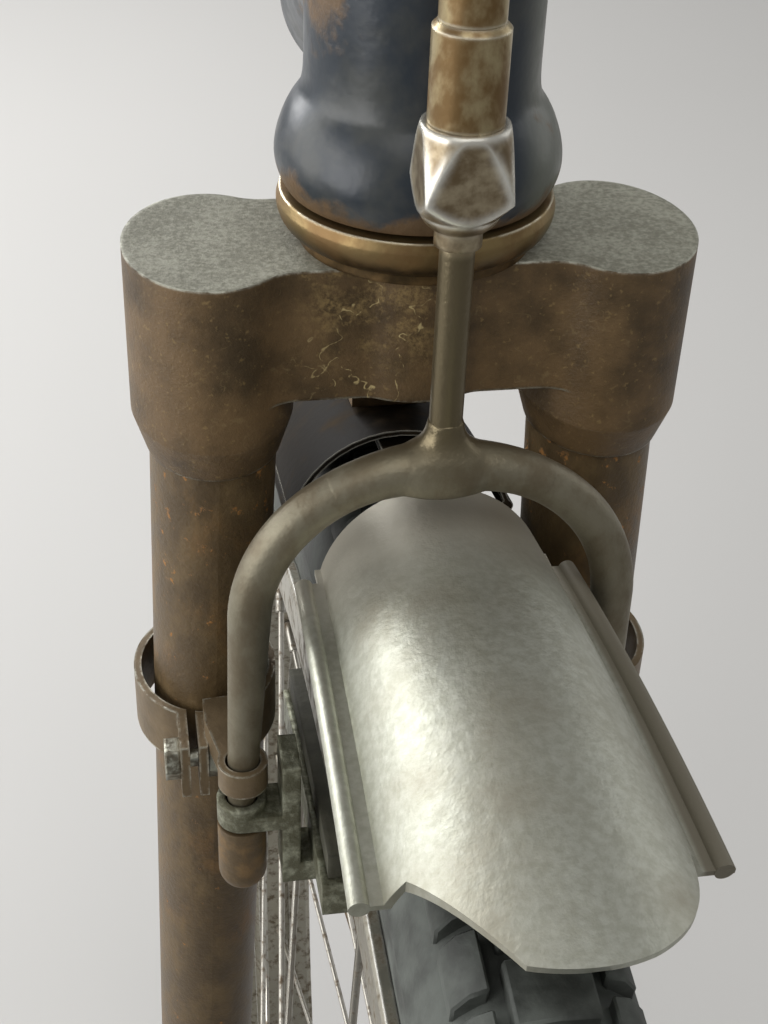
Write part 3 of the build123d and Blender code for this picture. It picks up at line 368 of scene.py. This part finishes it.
# The hub of the stirrup, where the rod flares into the arch: each row of the flare has its
# height on the rod, half its width and half its depth. The rod stands rod_forward metres in
# front of the origin, square to the steering axis.
across, up = Vector((1, 0, 0)), Vector(steering)
back = up.cross(across)
rod_forward, arch_drop, arch_bend, arm_r = 0.080497, 0.0248, 0.0285, 0.0036
flare = [(-0.0046, 0.0010, 0.0010), (-0.0044, 0.0060, 0.0030), (-0.0030, 0.0090, 0.0046),
         (-0.0010, 0.0105, 0.0051), (0.0010, 0.0096, 0.0050), (0.0028, 0.0076, 0.0046),
         (0.0040, 0.0056, 0.0040), (0.0050, 0.0042, 0.0035), (0.0062, 0.0034, 0.0031),
         (0.0075, 0.0030, 0.0029), (0.0088, 0.0028, 0.0028)]
flare_sides, arm_sides, arm_steps, arm_turn = 32, 24, 12, math.radians(2.6)
arm_start, skin, swell = 0.0022, 0.00006, 0.0008
hub_middle = up * (crown_level - arch_drop) - back * rod_forward


def turns(sides):
    """The angles of a ring's corners."""
    return [2 * math.pi * i / sides for i in range(sides)]


def skinned(build, rings):
    """Closes rings of corners into one tube with two ends."""
    for here, there in zip(rings, rings[1:]):
        for i in range(len(here)):
            build.faces.new((here[i - 1], here[i], there[i], there[i - 1]))
    for ring in (rings[0], rings[-1]):
        build.faces.new(ring)


blank = bmesh.new()
skinned(blank, [[blank.verts.new(hub_middle + up * rise + across * wide * math.cos(a)
                                 + back * deep * math.sin(a)) for a in turns(flare_sides)]
                for rise, wide, deep in flare])
for sign in (1, -1):
    rings = []
    for step in range(arm_steps + 1):
        bend = step * arm_turn
        course = across * sign * math.cos(bend) - up * math.sin(bend)
        middle = hub_middle + across * sign * (arm_start + arch_bend * math.sin(bend))
        middle -= up * arch_bend * (1 - math.cos(bend))
        thick = arm_r + skin + swell * (1 - step / arm_steps) ** 2
        out = course.cross(back)
        rings.append([blank.verts.new(middle + (back * math.cos(a) + out * math.sin(a)) * thick)
                      for a in turns(arm_sides)])
    skinned(blank, rings)
hub = piece("stirrup_hub", blank, satin, "brake", 180)
melt = hub.modifiers.new("melted joint", "REMESH")
melt.mode, melt.voxel_size, melt.use_smooth_shade = "VOXEL", 0.0004, True
fair = hub.modifiers.new("filed smooth", "SMOOTH")
fair.factor, fair.iterations = 0.5, 6

clip, tone = finish("clip_steel")
wear_and_painted_highlight = tone.edges(0.0009) * tone.spots(0.0032, 5, 0.7, (1, 1, 1), 3.0).ramp(0.42, 0.60)
base = tone.spots(0.005, 6).mix((0.085, 0.060, 0.032), (0.240, 0.172, 0.094))
coat(tone, Base_Color=wear_and_painted_highlight.mix(base, (0.60, 0.59, 0.50)),
     Metallic=0.35 + wear_and_painted_highlight * 0.5, Roughness=0.46 - wear_and_painted_highlight * 0.16,
     Normal=tone.spots(0.001, 4).bump(0.4, 0.0003))
dress(clip, "guide_clip_left", "guide_clip_right")

screw, tone = finish("scraped_bolt")
scraped = tone.spots(0.0030, 5, 0.65).ramp(0.42, 0.60)
coat(tone, Base_Color=scraped.mix((0.150, 0.135, 0.100), (0.42, 0.42, 0.35)),
     Metallic=0.8, Roughness=0.34,
     Normal=tone.spots(0.001, 4).bump(0.4, 0.0003, tone.soft(0.0008)))
dress(screw, "clip_bolt_left", "clip_bolt_right")

bright, tone = finish("nickel_nut_painted_highlight")
# Near-white bands along the facet edges, stronger low on the nut: a painted highlight of the lit
# chamfers.
low = tone.height().ramp(0.0350, 0.0290) * 0.7 + 0.3
wear_and_painted_highlight = tone.edges(0.0024, 0.026) * low * tone.height().ramp(0.0150, 0.0185)
stained = tone.spots(0.0035, 6).ramp(0.34, 0.70).mix((0.170, 0.122, 0.066), (0.440, 0.370, 0.250))
coat(tone, Base_Color=wear_and_painted_highlight.mix(stained, (0.95, 0.94, 0.86)),
     Metallic=0.72, Roughness=0.34 - wear_and_painted_highlight * 0.12,
     Normal=tone.spots(0.001, 3).bump(0.14, 0.0002, tone.soft(0.0010)))
dress(bright, "rod_nut")

brown, tone = finish("brown_nickel")
patch = tone.spots(0.0055, 6, 0.55, (1, 1, 0.6)).ramp(0.36, 0.62)
rims = tone.edges(0.0012)
stained = patch.mix((0.50, 0.41, 0.235), (0.175, 0.105, 0.038))
coat(tone, Base_Color=rims.mix(stained, (0.80, 0.76, 0.62)),
     Metallic=0.9 - patch * 0.3, Roughness=0.28 + patch * 0.16 - rims * 0.06,
     Normal=tone.spots(0.0020, 5).bump(0.18, 0.0004, tone.soft(0.0006)))
dress(brown, "rod_sleeve", "brake_rod")

rubber, tone = finish("pad_rubber")
coat(tone, Base_Color=tone.spots(0.004, 6).mix((0.030, 0.029, 0.019), (0.100, 0.096, 0.066)),
     Roughness=0.75, Normal=tone.spots(0.0015, 5).bump(0.5, 0.0005, tone.soft(0.0012)))
dress(rubber, "brake_pad_left", "brake_pad_right")

holder, tone = finish("holder_steel")
bare = tone.spots(0.0030, 7, 0.68).ramp(0.42, 0.70)
coat(tone, Base_Color=bare.mix((0.135, 0.132, 0.085), (0.42, 0.43, 0.33)),
     Metallic=0.55 + bare * 0.3, Roughness=0.46,
     Normal=tone.spots(0.0016, 6, 0.65).bump(0.7, 0.0006, tone.soft(0.0010)))
dress(holder, "shoe_holder_left", "shoe_holder_right")

# Wheel: a nickel rim with shoulders for the pads, thirty-six spokes with bent and headed
# ends, and a tyre valve between two of them.
axle = (Vector(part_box("tyre")[0]) + Vector(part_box("tyre")[1])) / 2

hoop, tone = finish("spotted_rim_nickel")
spotted = tone.spots(0.004, 7, 0.65).ramp(0.46, 0.66)
wear_and_painted_highlight = tone.edges(0.0008)
plated = spotted.mix((0.40, 0.38, 0.32), (0.13, 0.10, 0.062))
coat(tone, Base_Color=wear_and_painted_highlight.mix(plated, (0.70, 0.70, 0.66)),
     Metallic=1 - spotted * 0.5, Roughness=0.34 + spotted * 0.25, Normal=tone.soft(0.0006))
dress(hoop, "rim")
dress(nickel, "spokes_left", "spokes_right")

spoke_count, elbow = 36, 0.0015
flange_x, flange_half, hole_ring, spoke_r = 0.032, 0.0013, 0.018, 0.0009
head_section = [(0, 0.0002), (0, 0.0019), (0.0004, 0.0019), (0.0008, 0.0013), (0.0009, 0.0002)]
shank_sides, head_sides = 10, 12
heads = bmesh.new()
for sign in (1, -1):
    for i in range(spoke_count // 2):
        lead = 1 if i % 2 else -1
        angle = 2 * math.pi * (i + (0 if sign > 0 else 0.5)) / (spoke_count // 2)
        out = Matrix.Rotation(angle, 3, across) @ up
        hole = axle + out * hole_ring + across * sign * flange_x
        elbow_end = hole + across * sign * lead * (flange_half + elbow)
        head_end = hole - across * sign * lead * flange_half
        course = head_end - elbow_end
        shank_section = [(-spoke_r, 0.0002), (-spoke_r, spoke_r * 0.8),
                         (-spoke_r * 0.4, spoke_r), (course.length, spoke_r)]
        turned(heads, shank_section, elbow_end, course, out, shank_sides, False)
        turned(heads, head_section, head_end, course, out, head_sides, False)
piece("spoke_heads", heads, nickel, "wheel")

valve_turn, valve_sides, rim_under = math.radians(195), 20, 0.3052
valve_out = Matrix.Rotation(valve_turn, 3, across) @ up
valve_section = [(0, 0.0002), (0, 0.0055), (0.0015, 0.0055), (0.0020, 0.0048), (0.0032, 0.0046),
                 (0.0034, 0.0030), (0.0160, 0.0030), (0.0162, 0.0040), (0.0172, 0.0043),
                 (0.0260, 0.0043), (0.0278, 0.0032), (0.0284, 0.0002)]
valve = bmesh.new()
turned(valve, valve_section, axle + valve_out * rim_under, -valve_out, across, valve_sides, False)
piece("tyre_valve", valve, nickel, "wheel", 30)

# Tyre: black rubber moulded on a cotton casing, with two thin lines on each side wall and
# three rows of square blocks that years of use have rounded.
tread, tone = finish("tyre_rubber")
dust = tone.spots(0.008, 6).ramp(0.35, 0.7)
coat(tone, Base_Color=dust.mix((0.030, 0.033, 0.028), (0.095, 0.104, 0.092)),
     Roughness=0.62 + dust * 0.15, Normal=tone.spots(0.0011, 5).bump(0.35, 0.0003))
# One half of the casing's section, from its foot to its crown, as distances from the wheel's
# middle plane and from the axle. Each row of blocks has its start, as a share of the way from
# block to block, and the section of a block's top.
casing_half = [(0.0150, 0.3172), (0.0150, 0.3226), (0.01545, 0.3255), (0.01560, 0.3280),
               (0.01578, 0.3285), (0.01578, 0.3291), (0.01565, 0.3296), (0.01568, 0.3330),
               (0.01580, 0.3335), (0.01580, 0.3341), (0.01560, 0.3346), (0.0148, 0.3390),
               (0.0134, 0.3428), (0.0114, 0.3460), (0.0086, 0.3486), (0.0045, 0.3504),
               (0.0, 0.3509)]
casing = casing_half + [(-x, r) for x, r in casing_half[-2::-1]]
block_rows = [(0.0, [(-0.0056, 0.3531), (0.0, 0.3538), (0.0056, 0.3531)]),
              (0.5, [(0.0076, 0.3521), (0.0102, 0.3509), (0.0123, 0.3477)]),
              (0.5, [(-0.0123, 0.3477), (-0.0102, 0.3509), (-0.0076, 0.3521)])]
blocks_round, block_share, block_depth, casing_steps = 188, 0.80, 0.0042, 180
rubber_ring = bmesh.new()
turned(rubber_ring, casing, axle, across, up, casing_steps)
for row in range(blocks_round):
    for start, crest in block_rows:
        corners = []
        for share in (start, start + block_share):
            angle = 2 * math.pi * (row + share) / blocks_round
            ray = Matrix.Rotation(angle, 3, across) @ up
            corners.append([[rubber_ring.verts.new(axle + across * x + ray * (r - sink))
                             for x, r in crest] for sink in (0, block_depth)])
        (top_a, low_a), (top_b, low_b) = corners
        for i in range(len(crest) - 1):
            j = i + 1
            rubber_ring.faces.new((top_a[i], top_a[j], top_b[j], top_b[i]))
            rubber_ring.faces.new((low_a[i], low_b[i], low_b[j], low_a[j]))
            rubber_ring.faces.new((top_a[i], low_a[i], low_a[j], top_a[j]))
            rubber_ring.faces.new((top_b[i], top_b[j], low_b[j], low_b[i]))
        rubber_ring.faces.new((top_a[0], top_b[0], low_b[0], low_a[0]))
        rubber_ring.faces.new((top_a[-1], low_a[-1], low_b[-1], top_b[-1]))
tyre = piece("block_tread_tyre", rubber_ring, tread, "wheel", 35)
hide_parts("tyre")
rounding = tyre.modifiers.new("rounded blocks", "BEVEL")
rounding.width, rounding.segments, rounding.limit_method = 0.0004, 1, "ANGLE"
rounding.angle_limit = math.radians(50)

# Camera, lamps and floor: most light comes low from a window behind and from the wall and
# the door on the picture's left, the rest from a wide ceiling and a pale wall on its right.
eye = bpy.data.objects.new("camera", bpy.data.cameras.new("camera"))
eye.location = (-0.0476, -0.2332, 0.1850)
eye.rotation_euler = [math.radians(a) for a in (34.0, -5.2, -8.0)]
eye.data.lens = 56.23
eye.data.clip_start = 0.01
bpy.context.scene.collection.objects.link(eye)
bpy.context.scene.camera = eye


def lamp(name, place, aim, size, power):
    """Puts in a lamp of size metres that shines at aim."""
    made = bpy.data.objects.new(name, bpy.data.lights.new(name, "AREA"))
    made.data.shape, made.data.size, made.data.size_y = "RECTANGLE", *size
    made.data.energy = power
    made.location = place
    made.rotation_euler = (Vector(aim) - Vector(place)).to_track_quat("-Z", "Y").to_euler()
    bpy.context.scene.collection.objects.link(made)


lamp("window", (-0.55, 0.98, 0.00), (0, -0.12, -0.05), (0.95, 0.6), 11)
lamp("wall", (-1.35, 0.35, 0.05), (0, -0.10, -0.05), (0.9, 1.0), 8)
lamp("ceiling", (0.00, -0.30, 1.45), (0, -0.10, -0.05), (1.6, 1.4), 10)
lamp("door", (-1.42, -0.52, 0.28), (0, -0.10, -0.05), (0.9, 1.0), 11)
lamp("pale wall", (1.20, 0.50, 0.15), (0, -0.10, -0.05), (0.8, 1.0), 1.8)

sky = bpy.data.worlds.new("studio")
sky.use_nodes = True
sky_light = sky.node_tree.nodes["Background"].inputs
sky_light["Color"].default_value = (0.80, 0.80, 0.80, 1)
sky_light["Strength"].default_value = 0.34
bpy.context.scene.world = sky

floor_z, floor_half = cad_box[0][2], 6
sheet = bpy.data.meshes.new("floor")
sheet.from_pydata([(x, y, floor_z) for x, y in
                   ((-floor_half, -floor_half), (floor_half, -floor_half),
                    (floor_half, floor_half), (-floor_half, floor_half))],
                  [], [(0, 1, 2, 3)])
ground = bpy.data.objects.new("floor", sheet)
bpy.context.scene.collection.objects.link(ground)
pale, tone = finish("pale_floor")
coat(tone, Base_Color=tone.spots(0.4, 3).mix((0.60, 0.59, 0.57), (0.64, 0.63, 0.61)), Roughness=0.8)
sheet.materials.append(pale)
bpy.context.scene.view_settings.view_transform = "Standard"
